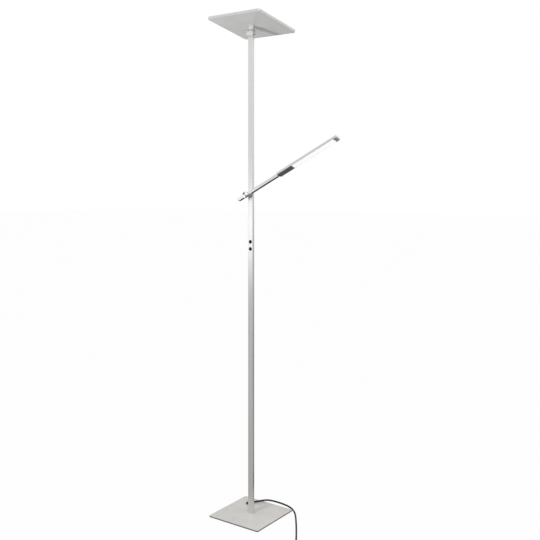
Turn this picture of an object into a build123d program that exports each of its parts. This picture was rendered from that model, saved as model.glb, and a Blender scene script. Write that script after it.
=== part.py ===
from build123d import *
import os
from math import atan2, cos, degrees, hypot, pi, radians, sin, tan

# Torchiere floor lamp with a side reading light. Millimetres, +Z up.
# The origin is on the floor, under the pole's axis. The front face, with the two push
# buttons, looks along -Y, and the reading light reaches out along +X.

# ---------------------------------------------------------------- driving dimensions
# Base
base_side = 220.0
base_corner_radius = 6.0
base_plate_thickness = 5.2
base_edge_round = 0.8
pad_thickness = 0.8
pad_inset = 4.0

# Pole: flat rectangular tube in two lengths
pole_width = 22.0
pole_depth = 10.0
pole_corner_radius = 1.6
pole_wall = 1.2
pole_lower_length = 918.0
pole_upper_length = 824.0
pole_end_chamfer = 0.35
insert_clearance = 0.2
foot_length = 30.0
joiner_length = 60.0
foot_screw_offset = 6.4
foot_screw_diameter = 4.0
foot_screw_head_diameter = 7.6
foot_screw_head_height = 2.3
foot_screw_reach = 12.0
set_screw_diameter = 4.0
set_screw_key = 2.0
thread_clearance = 0.05

# Wiring inside the pole
lead_diameter = 3.0
lead_offset = 1.5
lead_bore_clearance = 0.2
flat_lead_width = 3.6
flat_lead_thickness = 2.0
groove_clearance = 0.2

# Driver in the lower pole length
driver_bottom = 420.0
driver_length = 190.0
driver_wall = 0.6
driver_gap = 0.3
driver_board_thickness = 1.2

# Push buttons and the board behind them
button_diameter = 13.0
button_spacing = 26.0
board_above_joiner = 8.0
button_proud = 1.0
button_travel = 0.8
button_clearance = 0.3
button_flange = 1.0
button_flange_thickness = 0.8
button_dish_radius = 26.0
board_length = 50.0
board_thickness = 1.2
board_front = 1.2
carrier_overhang = 4.0
carrier_wall = 1.2
switch_side = 6.0
plunger_diameter = 3.0

# Head hinge at the pole's top
pivot_above_pole = 19.0
hinge_radius = 12.2
hinge_cheek_inner = 6.0
hinge_cheek_outer = 10.5
hinge_pin_diameter = 6.0
pin_running_clearance = 0.05
spigot_length = 26.0
neck_depth = 11.0
side_plate_radius = 12.6
side_plate_thickness = 3.0
side_plate_edge = 0.6
hinge_screw_spacing = 14.6
hinge_screw_diameter = 3.0
hinge_screw_head = 6.0
hinge_screw_head_height = 2.2
hinge_screw_key = 2.5
hinge_screw_reach = 3.4
hinge_washer_thickness = 0.7
moving_gap = 0.3

# Torchiere head, built level about its pivot and then tilted
head_tilt = 9.5
head_side = 234.0
head_height = 10.0
head_lift = 26.0
head_corner_radius = 8.0
head_floor = 2.0
head_wall = 3.2
head_edge_round = 0.8
head_ledge = 1.6
head_diffuser_thickness = 2.0
head_diffuser_recess = 0.3
head_diffuser_gap = 0.3
head_block_width = 22.0
head_block_depth = 12.0
head_block_round = 2.0
head_screw_spacing = 13.0
head_screw_diameter = 3.5
head_screw_head = 6.4
head_screw_head_height = 2.2
head_screw_reach = 8.0
head_wire_bore = 4.0
led_board_side = 190.0
led_board_thickness = 1.6
led_board_window = 40.0
led_board_screw_inset = 8.0
led_count_side = 8
led_pitch = 22.0
led_size = 3.5
led_height = 0.8

# Reading light: post, swinging arm, twisting LED head
hub_above_seam = 248.5
post_diameter = 15.0
post_length = 11.5
axle_diameter = 8.0
axle_bore = 4.0
hub_washer_diameter = 14.6
hub_washer_thickness = 0.6
hub_cap_diameter = 24.0
hub_cap_thickness = 3.6
hub_cap_round = 1.2
hub_cap_stud = 5.0
hub_cap_groove = 0.4
post_nut_width = 17.0
post_nut_height = 14.0
post_nut_thickness = 2.2
arm_rise = 27.0
arm_depth = 16.0
arm_height = 10.5
arm_wall = 1.4
arm_corner_radius = 1.2
arm_hub_diameter = 16.0
arm_front = 152.0
arm_tail = 45.0
arm_tail_cap = 6.0
arm_plug_length = 14.0
arm_nose_length = 5.0
twist_washer_diameter = 9.0
twist_washer_thickness = 1.6
twist_shaft_diameter = 5.0
twist_shaft_reach = 16.0
twist_clip_diameter = 6.6
twist_clip_thickness = 1.0
reading_twist = 25.0
reading_width = 23.0
reading_thickness = 10.0
reading_wall = 1.4
reading_corner_radius = 1.2
reading_cap_length = 6.0
reading_cap_spigot = 6.0
reading_end_cap = 4.0
reading_dark_start = 69.0
reading_window_length = 187.0
reading_dark_end = 15.0
reading_window_width = 17.4
reading_window_corner = 3.0
reading_diffuser_crown = 0.5
reading_diffuser_gap = 0.2
reading_board_thickness = 1.0
reading_led_count = 24
reading_led_size = 3.0

# Mains cord
cord_diameter = 6.2
gland_x = -58.0
gland_y = 54.0
gland_heading = 54.5
gland_body_diameter = 10.0
gland_height = 8.0
gland_flange_diameter = 11.0
gland_flange_thickness = 1.2
gland_neck_diameter = 8.0
gland_nozzle_length = 24.0
gland_nozzle_root = 8.2
gland_nozzle_tip = 7.2
gland_cord_height = 4.2
gland_ribs = 3
coil_outer_radius = 42.0
coil_gap = 0.6
coil_lower_halves = 4
coil_upper_halves = 5
plug_width = 24.0
plug_height = 18.0
plug_length = 28.0
plug_corner = 5.0
plug_taper = 8.0
plug_relief_length = 16.0
plug_relief_end = 10.0
plug_ribs = 4
blade_spacing = 12.7
blade_width = 6.3
blade_thickness = 1.5
blade_length = 16.0

# The cord's route from its first straight run to the coil, chosen by hand
cord_first_run = 16.0
route_onward = [
    (-25.0, 100.5, 15.5),
    (-13.5, 117.0, 15.5),
    (3.0, 130.5, 9.0),
    (27.0, 137.5, 3.9),
    (57.0, 136.0, 3.1),
    (86.0, 128.0, 3.1),
    (112.0, 112.0, 3.1),
    (135.0, 89.0, 3.1),
    (159.5, 56.5, 3.1),
    (191.0, 11.5, 3.1),
    (224.0, -37.5, 3.1),
    (258.5, -91.0, 3.1),
    (289.5, -141.0, 3.1),
]
# The short lead from the coil to the plug, in the coil's own frame: forward, left, up
plug_lead_steps = [(14.0, 0.0, 0.0), (30.0, -1.5, -0.3), (47.0, -6.0, -0.8), (62.0, -12.5, -0.8)]

# ---------------------------------------------------------------- derived places
plate_top = pad_thickness + base_plate_thickness
seam_height = plate_top + pole_lower_length
pole_top = seam_height + pole_upper_length
pivot_height = pole_top + pivot_above_pole
bore_width = pole_width - 2 * pole_wall
bore_depth = pole_depth - 2 * pole_wall
insert_width = bore_width - 2 * insert_clearance
insert_depth = bore_depth - 2 * insert_clearance
front_face = -pole_depth / 2
back_face = pole_depth / 2
front_wall_inside = front_face + pole_wall
back_wall_inside = back_face - pole_wall
hub_height = seam_height + hub_above_seam
middle_button_height = seam_height + joiner_length / 2 + board_above_joiner + board_length / 2
upper_button_height = middle_button_height + button_spacing / 2
lower_button_height = middle_button_height - button_spacing / 2
board_bottom = middle_button_height - board_length / 2
board_top = middle_button_height + board_length / 2
post_front = front_face - post_length
arm_back = post_front - hub_washer_thickness - moving_gap
arm_front_face = arm_back - arm_depth
cap_back = arm_front_face - moving_gap - hub_washer_thickness
arm_centre = (arm_back + arm_front_face) / 2
twist_start = arm_front + arm_nose_length
reading_start = twist_start + twist_washer_thickness + moving_gap
reading_end = reading_start + reading_dark_start + reading_window_length + reading_dark_end
window_start = reading_start + reading_dark_start
coil_pitch = cord_diameter + coil_gap
coil_lower_height = cord_diameter / 2
coil_upper_height = coil_lower_height + coil_pitch
gland_way = (cos(radians(gland_heading)), sin(radians(gland_heading)))
route = [
    (gland_x + gland_way[0] * ahead, gland_y + gland_way[1] * ahead, plate_top + gland_cord_height)
    for ahead in (gland_nozzle_length, gland_nozzle_length + cord_first_run)
] + route_onward

head_place = Pos(0, 0, pivot_height) * Rot(-head_tilt, 0, 0)
arm_place = Pos(0, arm_centre, hub_height) * Rot(0, -arm_rise, 0)
reading_place = arm_place * Rot(-reading_twist, 0, 0)


# ---------------------------------------------------------------- shared helpers
def block(width, depth, height, corner=0.0):
    """An upright block standing on z = 0, with rounded vertical edges."""
    outline = RectangleRounded(width, depth, corner) if corner else Rectangle(width, depth)
    return extrude(outline, height)


def rod_x(diameter, start, end):
    """A cylinder along X between two places."""
    return Pos(start, 0, 0) * Rot(0, 90, 0) * Cylinder(
        diameter / 2, end - start, align=(Align.CENTER, Align.CENTER, Align.MIN)
    )


def rod_y(diameter, start, end):
    """A cylinder along Y between two places, start below end."""
    return Pos(0, start, 0) * Rot(-90, 0, 0) * Cylinder(
        diameter / 2, end - start, align=(Align.CENTER, Align.CENTER, Align.MIN)
    )


def rod_z(diameter, start, end):
    """An upright cylinder between two heights."""
    return Pos(0, 0, start) * Cylinder(
        diameter / 2, end - start, align=(Align.CENTER, Align.CENTER, Align.MIN)
    )


def hex_key(across, depth):
    """A hexagonal key pocket standing on z = 0."""
    return extrude(RegularPolygon(across / 2, 6, major_radius=False), depth)


def bar_x(depth, height, start, end, corner=0.0):
    """A bar along X with a section of depth (Y) by height (Z)."""
    outline = RectangleRounded(depth, height, corner) if corner else Rectangle(depth, height)
    return Pos(start, 0, 0) * extrude(Plane.YZ * outline, end - start)


def lead_bore(bottom, top):
    """The passage that the inner lead takes through an insert."""
    return Pos(0, lead_offset, 0) * rod_z(lead_diameter + 2 * lead_bore_clearance, bottom, top)


def set_screw_pocket(height):
    """The threaded pocket of a set screw in an insert, open to the back."""
    diameter = set_screw_diameter + 2 * thread_clearance
    return Pos(0, 0, height) * rod_y(diameter, set_screw_bottom - 0.1, back_face + 1)


set_screw_bottom = 3.3
set_screw_heights = {
    "foot": plate_top + foot_length / 2,
    "joiner_low": seam_height - joiner_length * 0.3,
    "joiner_high": seam_height + joiner_length * 0.3,
    "spigot": pole_top - spigot_length / 2,
}


# ---------------------------------------------------------------- base
def gland_path():
    """The flat lead's way under the plate, from the pole's axis to the gland."""
    corner = (0.0, lead_offset + 14.0)
    away = hypot(gland_x - corner[0], gland_y - corner[1])
    stop = gland_flange_diameter / 2 + flat_lead_width / 2 + groove_clearance
    share = (away - stop) / away
    end = (corner[0] + (gland_x - corner[0]) * share, corner[1] + (gland_y - corner[1]) * share)
    return [(0.0, lead_offset), corner, end]


def strip(points, width, height):
    """A flat bar with round ends and corners that follows points on the plane z = 0."""
    legs = []
    for (x0, y0), (x1, y1) in zip(points, points[1:]):
        outline = SlotCenterToCenter(hypot(x1 - x0, y1 - y0), width)
        turn = degrees(atan2(y1 - y0, x1 - x0))
        legs.append(Pos((x0 + x1) / 2, (y0 + y1) / 2, 0) * Rot(0, 0, turn) * extrude(outline, height))
    body = legs[0]
    for leg in legs[1:]:
        body += leg
    return body


def make_base_pad():
    side = base_side - 2 * pad_inset
    return block(side, side, pad_thickness, base_corner_radius - pad_inset / 2)


def make_base_plate():
    plate = Pos(0, 0, pad_thickness) * block(
        base_side, base_side, base_plate_thickness, base_corner_radius
    )
    plate = fillet(plate.faces().sort_by(Axis.Z)[-1].outer_wire().edges(), base_edge_round)
    plate = chamfer(plate.faces().sort_by(Axis.Z)[0].outer_wire().edges(), base_edge_round / 2)
    head_radius = foot_screw_head_diameter / 2 + thread_clearance
    hole_radius = foot_screw_diameter / 2 + thread_clearance
    for side in (-1, 1):
        place = Pos(side * foot_screw_offset, 0, pad_thickness)
        plate -= place * Cone(
            head_radius, hole_radius, foot_screw_head_height,
            align=(Align.CENTER, Align.CENTER, Align.MIN),
        )
        plate -= place * rod_z(2 * hole_radius, 0, base_plate_thickness + 1)
    plate -= lead_bore(pad_thickness, plate_top + 1)
    groove = strip(
        gland_path(), flat_lead_width + 2 * groove_clearance, flat_lead_thickness + groove_clearance
    )
    plate -= Pos(0, 0, pad_thickness) * groove
    at_gland = Pos(gland_x, gland_y, 0)
    pocket_top = pad_thickness + flat_lead_thickness + gland_flange_thickness
    plate -= at_gland * rod_z(gland_flange_diameter + 2 * groove_clearance, pad_thickness, pocket_top)
    plate -= at_gland * rod_z(gland_neck_diameter + 2 * groove_clearance, pad_thickness, plate_top + 1)
    return plate


def make_base_lead():
    body = strip(gland_path(), flat_lead_width, flat_lead_thickness)
    return Pos(0, 0, pad_thickness) * body


def make_foot_screws():
    """Two countersunk screws that pull the pole's foot down on the plate."""
    screws = []
    for side in (-1, 1):
        head = Pos(0, 0, pad_thickness) * Cone(
            foot_screw_head_diameter / 2, foot_screw_diameter / 2, foot_screw_head_height,
            align=(Align.CENTER, Align.CENTER, Align.MIN),
        )
        shank = rod_z(foot_screw_diameter, pad_thickness, plate_top + foot_screw_reach)
        screw = head + shank - Pos(0, 0, pad_thickness) * hex_key(set_screw_key * 1.25, 1.4)
        screws.append(Pos(side * foot_screw_offset, 0, 0) * screw)
    return Compound(children=screws)


def make_pole_foot():
    foot = Pos(0, 0, plate_top) * block(insert_width, insert_depth, foot_length, pole_corner_radius / 2)
    foot -= lead_bore(plate_top - 1, plate_top + foot_length + 1)
    for side in (-1, 1):
        foot -= Pos(side * foot_screw_offset, 0, 0) * rod_z(
            foot_screw_diameter + 2 * thread_clearance, plate_top - 1, plate_top + foot_screw_reach + 2
        )
    return foot - set_screw_pocket(set_screw_heights["foot"])


# ---------------------------------------------------------------- pole
def pole_tube(bottom, length):
    outer = block(pole_width, pole_depth, length, pole_corner_radius)
    ends = outer.faces().filter_by(Axis.Z)
    outer = chamfer([edge for face in ends for edge in face.outer_wire().edges()], pole_end_chamfer)
    inner = block(bore_width, bore_depth, length, pole_corner_radius / 2)
    return Pos(0, 0, bottom) * (outer - inner)


def set_screw_hole(height):
    diameter = set_screw_diameter + 2 * thread_clearance
    return Pos(0, 0, height) * rod_y(diameter, back_wall_inside - 0.5, back_face + 1)


def make_pole_lower():
    tube = pole_tube(plate_top, pole_lower_length)
    return tube - set_screw_hole(set_screw_heights["foot"]) - set_screw_hole(
        set_screw_heights["joiner_low"]
    )


def make_pole_upper():
    tube = pole_tube(seam_height, pole_upper_length)
    tube -= set_screw_hole(set_screw_heights["joiner_high"])
    tube -= set_screw_hole(set_screw_heights["spigot"])
    for height in (upper_button_height, lower_button_height):
        opening = button_diameter + 2 * button_clearance
        tube -= Pos(0, 0, height) * rod_y(opening, front_face - 1, front_wall_inside + 0.5)
    axle_hole = axle_diameter + 2 * thread_clearance
    return tube - Pos(0, 0, hub_height) * rod_y(axle_hole, front_face - 1, front_wall_inside + 0.5)


def make_pole_joiner():
    bottom = seam_height - joiner_length / 2
    body = Pos(0, 0, bottom) * block(insert_width, insert_depth, joiner_length, pole_corner_radius / 2)
    body -= lead_bore(bottom - 1, bottom + joiner_length + 1)
    return body - set_screw_pocket(set_screw_heights["joiner_low"]) - set_screw_pocket(
        set_screw_heights["joiner_high"]
    )


def make_set_screws():
    """Hexagon socket set screws, flush with the pole's back face."""
    screws = []
    for height in set_screw_heights.values():
        screw = rod_y(set_screw_diameter, set_screw_bottom, back_face - 0.1)
        screw -= Pos(0, back_face, 0) * Rot(90, 0, 0) * hex_key(set_screw_key, 1.2)
        screws.append(Pos(0, 0, height) * screw)
    return Compound(children=screws)


def make_driver_sleeve():
    width = bore_width - 2 * driver_gap
    depth = bore_depth - 2 * driver_gap
    outer = block(width, depth, driver_length, pole_corner_radius / 2)
    inner = block(width - 2 * driver_wall, depth - 2 * driver_wall, driver_length)
    return Pos(0, 0, driver_bottom) * (outer - inner)


def make_driver_board():
    """The circuit board, across the sleeve's width, with its parts on the front side."""
    width = bore_width - 2 * driver_gap - 2 * driver_wall
    back = bore_depth / 2 - driver_gap - driver_wall
    board = Pos(0, back - driver_board_thickness / 2, driver_bottom) * block(
        width, driver_board_thickness, driver_length
    )
    room = 2 * back - driver_board_thickness
    face = back - driver_board_thickness
    lengths = (22.0, 34.0, 14.0, 26.0)
    spot = driver_bottom + 14.0
    for length in lengths:
        part = Pos(0, face - room * 0.45, spot) * block(width * 0.72, room * 0.9, length, 0.5)
        board += part
        spot += length + 14.0
    return board


def make_pole_leads():
    """The lead in three lengths: to the driver, to the buttons' board, to the head hinge."""
    carrier_bottom = board_bottom - carrier_overhang
    carrier_top = board_top + carrier_overhang
    spans = [
        (pad_thickness + flat_lead_thickness, driver_bottom),
        (driver_bottom + driver_length, carrier_bottom),
        (carrier_top, pole_top + 2.0),
    ]
    leads = [Pos(0, lead_offset, 0) * rod_z(lead_diameter, low, high) for low, high in spans]
    return Compound(children=leads)


# ---------------------------------------------------------------- push buttons
def make_board_carrier():
    """A channel that clips into the pole and holds the board against its back web."""
    outer_width = bore_width - 2 * driver_gap
    length = board_length + 2 * carrier_overhang
    front = board_front - 1.7
    back = back_wall_inside - insert_clearance
    web_front = board_front + board_thickness
    web = Pos(0, (web_front + back) / 2, 0) * block(outer_width, back - web_front, length)
    body = web
    for side in (-1, 1):
        rib_place = Pos(side * (outer_width - carrier_wall) / 2, (front + back) / 2, 0)
        body += rib_place * block(carrier_wall, back - front, length)
    return Pos(0, 0, board_bottom - carrier_overhang) * body


def make_control_board():
    width = bore_width - 2 * driver_gap - 2 * carrier_wall - 0.4
    place = Pos(0, board_front + board_thickness / 2, board_bottom)
    return place * block(width, board_thickness, board_length)


def make_button_switches():
    """Two tact switches on the board, one behind each button."""
    plunger_front = front_wall_inside + button_clearance + button_flange_thickness
    plunger_front += button_travel + moving_gap
    body_front = plunger_front + 0.5
    switches = []
    for height in (upper_button_height, lower_button_height):
        middle = (body_front + board_front) / 2
        case = Pos(0, middle, -switch_side / 2) * block(
            switch_side, board_front - body_front, switch_side
        )
        plunger = rod_y(plunger_diameter, plunger_front, body_front)
        switches.append(Pos(0, 0, height) * (case + plunger))
    return Compound(children=switches)


def make_button(height):
    """A round cap with a dished face and a flange behind the pole's wall that keeps it in."""
    flange_front = front_wall_inside + button_clearance
    flange_back = flange_front + button_flange_thickness
    cap_front = front_face - button_proud
    body = rod_y(button_diameter, cap_front, flange_front)
    body = chamfer(body.edges().sort_by(Axis.Y)[0], 0.3)
    body += rod_y(button_diameter + 2 * button_flange, flange_front, flange_back)
    dish = Pos(0, cap_front - button_dish_radius + 0.35, 0) * Sphere(button_dish_radius)
    return Pos(0, 0, height) * (body - dish)


# ---------------------------------------------------------------- head hinge
def keyhole_profile(radius, foot_depth, drop):
    """A disc about the pivot whose sides run down, tangent, to a foot of a given depth."""
    half = foot_depth / 2
    reach = hypot(half, drop)
    swing = atan2(half, drop) - atan2(radius, (reach**2 - radius**2) ** 0.5)
    touch = (reach**2 - radius**2) ** 0.5
    tangent_y = -half + touch * sin(-swing)
    tangent_z = -drop + touch * cos(swing)
    web = Polygon(
        (half, -drop), (-tangent_y, tangent_z), (tangent_y, tangent_z), (-half, -drop), align=None
    )
    return Circle(radius) + web


def make_hinge_yoke():
    """The spigot in the pole's top, the neck and the two cheeks that carry the pin."""
    profile = Plane.YZ * keyhole_profile(hinge_radius, neck_depth, pivot_above_pole)
    body = extrude(profile, hinge_cheek_outer, both=True)
    slot_floor = -(hinge_radius + 1.0)
    slot_top = hinge_radius + 1.0
    slot = Pos(0, 0, slot_floor) * block(2 * hinge_cheek_inner, 4 * hinge_radius, slot_top - slot_floor)
    body -= slot
    body -= rod_x(hinge_pin_diameter + 0.02, -hinge_cheek_outer - 1, hinge_cheek_outer + 1)
    for side in (-1, 1):
        for drop in (-1, 1):
            pocket = rod_x(
                hinge_screw_diameter + 2 * thread_clearance,
                hinge_cheek_outer - hinge_screw_reach - 0.2, hinge_cheek_outer + 1,
            )
            turn = Rot(0, 0, 180) if side < 0 else Rot(0, 0, 0)
            body -= Pos(0, 0, drop * hinge_screw_spacing / 2) * turn * pocket
    spigot = block(insert_width, insert_depth, spigot_length + 0.5, pole_corner_radius / 2)
    body += Pos(0, 0, -pivot_above_pole - spigot_length) * spigot
    body = Pos(0, 0, pivot_height) * body
    body -= lead_bore(pole_top - spigot_length - 1, pivot_height + slot_floor + 1)
    return body - set_screw_pocket(set_screw_heights["spigot"])


def make_hinge_pin():
    reach = hinge_cheek_outer - 0.1
    return Pos(0, 0, pivot_height) * rod_x(hinge_pin_diameter, -reach, reach)


def make_hinge_washers():
    """Friction washers against the cheeks, one each side of the head's tongue."""
    washers = []
    for side in (-1, 1):
        low = min(side * hinge_cheek_inner, side * (hinge_cheek_inner - hinge_washer_thickness))
        ring = rod_x(2 * hinge_radius - 2.4, low, low + hinge_washer_thickness)
        ring -= rod_x(hinge_pin_diameter + 0.02, low - 1, low + 2)
        washers.append(Pos(0, 0, pivot_height) * ring)
    return Compound(children=washers)


def make_side_plate(side):
    """The round plate over a cheek, with two counterbored screw holes."""
    plate = rod_x(2 * side_plate_radius, hinge_cheek_outer, hinge_cheek_outer + side_plate_thickness)
    plate = chamfer(plate.edges().sort_by(Axis.X)[-1], side_plate_edge)
    outer = hinge_cheek_outer + side_plate_thickness
    for drop in (-1, 1):
        place = Pos(0, 0, drop * hinge_screw_spacing / 2)
        plate -= place * rod_x(hinge_screw_diameter + 2 * thread_clearance, 0, outer + 1)
        plate -= place * rod_x(
            hinge_screw_head + 0.3, outer - hinge_screw_head_height - 0.1, outer + 1
        )
    turn = Rot(0, 0, 180) if side < 0 else Rot(0, 0, 0)
    return Pos(0, 0, pivot_height) * turn * plate


def make_hinge_screws():
    """Socket head screws, two in each side plate."""
    outer = hinge_cheek_outer + side_plate_thickness
    seat = outer - hinge_screw_head_height - 0.1
    screw = rod_x(hinge_screw_head, seat, outer - 0.1)
    screw += rod_x(hinge_screw_diameter, hinge_cheek_outer - hinge_screw_reach, seat)
    screw -= Pos(outer, 0, 0) * Rot(0, -90, 0) * hex_key(hinge_screw_key, 1.5)
    screws = []
    for turn in (0, 180):
        for drop in (-1, 1):
            place = Pos(0, 0, pivot_height + drop * hinge_screw_spacing / 2)
            screws.append(place * Rot(0, 0, turn) * screw)
    return Compound(children=screws)


def make_head_bracket():
    """The tongue round the pin and the block that the head is screwed to."""
    tongue_half = hinge_cheek_inner - hinge_washer_thickness - moving_gap
    tongue_radius = hinge_radius - 0.4
    block_bottom = side_plate_radius + 0.6
    body = rod_x(2 * tongue_radius, -tongue_half, tongue_half)
    riser = block(2 * tongue_half, head_block_depth - 2, head_lift - 1)
    body += riser
    top = Pos(0, 0, block_bottom) * block(
        head_block_width, head_block_depth, head_lift - block_bottom, head_block_round
    )
    body += top
    body -= rod_x(hinge_pin_diameter + 2 * pin_running_clearance, -20, 20)
    body -= rod_z(head_wire_bore, block_bottom + 1, head_lift + 1)
    body -= Pos(0, 0, block_bottom + 3) * rod_y(head_wire_bore, 0, head_block_depth)
    for side in (-1, 1):
        body -= Pos(side * head_screw_spacing / 2, 0, 0) * rod_z(
            head_screw_diameter + 2 * thread_clearance, head_lift - head_screw_reach - 1, head_lift + 1
        )
    return head_place * body


# ---------------------------------------------------------------- torchiere head
def make_head_tray():
    """A square dished shell whose rim has a ledge for the diffuser."""
    tray = block(head_side, head_side, head_height, head_corner_radius)
    low_edges = tray.faces().sort_by(Axis.Z)[0].outer_wire().edges()
    high_edges = tray.faces().sort_by(Axis.Z)[-1].outer_wire().edges()
    tray = fillet(low_edges + high_edges, head_edge_round)
    room = head_side - 2 * head_wall
    tray -= Pos(0, 0, head_floor) * block(room, room, head_height, head_corner_radius - head_wall)
    lip = head_side - 2 * (head_wall - head_ledge)
    ledge_height = head_height - head_diffuser_recess - head_diffuser_thickness
    tray -= Pos(0, 0, ledge_height) * block(
        lip, lip, head_height, head_corner_radius - head_wall + head_ledge
    )
    tray -= rod_z(head_wire_bore, -1, head_floor + 1)
    for side in (-1, 1):
        hole = head_screw_diameter + 2 * thread_clearance
        tray -= Pos(side * head_screw_spacing / 2, 0, 0) * rod_z(hole, -1, head_floor + 1)
    return head_place * Pos(0, 0, head_lift) * tray


def make_head_bracket_screws():
    """Two screws from inside the tray down into the bracket's block."""
    seat = head_lift + head_floor
    screws = []
    for side in (-1, 1):
        screw = rod_z(head_screw_head, seat, seat + head_screw_head_height)
        screw += rod_z(head_screw_diameter, head_lift - head_screw_reach, seat)
        screw -= Pos(0, 0, seat + head_screw_head_height - 1.2) * hex_key(2.5, 2)
        screws.append(head_place * Pos(side * head_screw_spacing / 2, 0, 0) * screw)
    return Compound(children=screws)


def board_screw_spots():
    reach = led_board_side / 2 - led_board_screw_inset
    return [(x * reach, y * reach) for x in (-1, 1) for y in (-1, 1)]


def make_head_led_board():
    """The aluminium-backed board that lies on the tray's floor and spreads its heat."""
    board = block(led_board_side, led_board_side, led_board_thickness, 3)
    board -= block(led_board_window, led_board_window, led_board_thickness, 3)
    for x, y in board_screw_spots():
        board -= Pos(x, y, 0) * rod_z(3 + 2 * thread_clearance, -1, led_board_thickness + 1)
    return head_place * Pos(0, 0, head_lift + head_floor) * board


def make_head_board_screws():
    seat = head_lift + head_floor + led_board_thickness
    screws = []
    for x, y in board_screw_spots():
        screw = rod_z(5.5, seat, seat + 1.6) + rod_z(3, head_lift + head_floor, seat)
        screws.append(head_place * Pos(x, y, 0) * screw)
    return Compound(children=screws)


def make_head_leds():
    """Square emitters in rows on the board, none over its middle window."""
    seat = head_lift + head_floor + led_board_thickness
    first = -led_pitch * (led_count_side - 1) / 2
    chips = []
    for row in range(led_count_side):
        for column in range(led_count_side):
            x = first + column * led_pitch
            y = first + row * led_pitch
            if max(abs(x), abs(y)) < led_board_window / 2 + led_size:
                continue
            chip = Pos(x, y, seat) * block(led_size, led_size, led_height)
            chips.append(head_place * chip)
    return Compound(children=chips)


def make_head_diffuser():
    side = head_side - 2 * (head_wall - head_ledge) - 2 * head_diffuser_gap
    corner = head_corner_radius - head_wall + head_ledge - head_diffuser_gap
    plate = block(side, side, head_diffuser_thickness, corner)
    plate = chamfer(plate.faces().sort_by(Axis.Z)[-1].outer_wire().edges(), 0.3)
    bottom = head_lift + head_height - head_diffuser_recess - head_diffuser_thickness
    return head_place * Pos(0, 0, bottom) * plate


# ---------------------------------------------------------------- reading light, pole side
def make_reading_post():
    """A collar on the pole's face and the hollow axle that the arm swings on."""
    stud_front = cap_back - 2.4
    body = rod_y(post_diameter, post_front, front_face)
    body += rod_y(axle_diameter, cap_back, front_face)
    body += rod_y(axle_diameter, front_face, front_wall_inside + post_nut_thickness + 0.2)
    body += rod_y(hub_cap_stud, stud_front, cap_back)
    body -= rod_y(axle_bore, arm_front_face + 2, front_wall_inside + post_nut_thickness + 1)
    wire_way = Pos(0, arm_centre, 0) * rod_x(axle_bore - 1, 0, axle_diameter)
    return Pos(0, 0, hub_height) * (body - wire_way)


def make_post_nut():
    """The plate nut inside the pole that pulls the collar on to its face."""
    place = Pos(0, front_wall_inside + post_nut_thickness / 2, hub_height - post_nut_height / 2)
    nut = place * block(post_nut_width, post_nut_thickness, post_nut_height)
    hole = rod_y(axle_diameter + 2 * thread_clearance, front_face, 0)
    return nut - Pos(0, 0, hub_height) * hole


def make_hub_washers():
    rings = []
    for low in (post_front - hub_washer_thickness, cap_back):
        ring = rod_y(hub_washer_diameter, low, low + hub_washer_thickness)
        ring -= rod_y(axle_diameter + 0.1, low - 1, low + 2)
        rings.append(Pos(0, 0, hub_height) * ring)
    return Compound(children=rings)


def make_hub_cap():
    """The turned cap that closes the hub and keeps the arm on its axle."""
    front = cap_back - hub_cap_thickness
    cap = rod_y(hub_cap_diameter, front, cap_back)
    cap = fillet(cap.edges().sort_by(Axis.Y)[0], hub_cap_round)
    groove = rod_y(hub_cap_diameter * 0.62, front - 1, front + hub_cap_groove)
    groove -= rod_y(hub_cap_diameter * 0.54, front - 2, front + 1)
    stud_hole = rod_y(hub_cap_stud + 2 * thread_clearance, cap_back - 2.6, cap_back + 1)
    return Pos(0, 0, hub_height) * (cap - groove - stud_hole)


# ---------------------------------------------------------------- reading light, arm
def make_arm_tube():
    """A rectangular tube with a round hub across it."""
    start = -(arm_tail - arm_tail_cap)
    outer = bar_x(arm_depth, arm_height, start, arm_front, arm_corner_radius)
    inner = bar_x(arm_depth - 2 * arm_wall, arm_height - 2 * arm_wall, start - 1, arm_front + 1)
    hub = rod_y(arm_hub_diameter, -arm_depth / 2, arm_depth / 2)
    body = outer - inner + hub
    return arm_place * (body - rod_y(axle_diameter + 2 * pin_running_clearance, -20, 20))


def arm_plug(start, end):
    """The part of an end piece that is pressed into the arm's tube."""
    room = 2 * (arm_wall + 0.1)
    return bar_x(arm_depth - room, arm_height - room, start, end)


def make_arm_tail_cap():
    """The rounded end of the arm's tail."""
    seam = -(arm_tail - arm_tail_cap)
    round_centre = -arm_tail + arm_height / 2
    nose = Pos(round_centre, 0, 0) * rod_y(arm_height, -arm_depth / 2, arm_depth / 2)
    cap = nose & bar_x(arm_depth, arm_height, -arm_tail, seam, arm_corner_radius)
    cap += bar_x(arm_depth, arm_height, round_centre, seam, arm_corner_radius)
    return arm_place * (cap + arm_plug(seam, seam + arm_plug_length))


def make_arm_nose():
    """The end piece that holds the shaft on which the reading head twists."""
    nose = bar_x(arm_depth, arm_height, arm_front, twist_start, arm_corner_radius)
    nose = chamfer(nose.faces().sort_by(Axis.X)[-1].outer_wire().edges(), 0.8)
    nose += arm_plug(arm_front - arm_plug_length, arm_front)
    bore = rod_x(twist_shaft_diameter + 0.02, arm_front - arm_plug_length - 1, twist_start + 1)
    return arm_place * (nose - bore)


def make_twist_shaft():
    start = arm_front - arm_plug_length
    end = reading_start + twist_shaft_reach
    shaft = rod_x(twist_shaft_diameter, start, end)
    shaft = chamfer(shaft.edges().sort_by(Axis.X)[-1], 0.6)
    return arm_place * (shaft - rod_x(twist_shaft_diameter / 2, start - 1, end + 1))


def make_twist_washer():
    ring = rod_x(twist_washer_diameter, twist_start, twist_start + twist_washer_thickness)
    ring -= rod_x(twist_shaft_diameter + 0.02, twist_start - 1, twist_start + 3)
    return arm_place * ring


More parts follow.
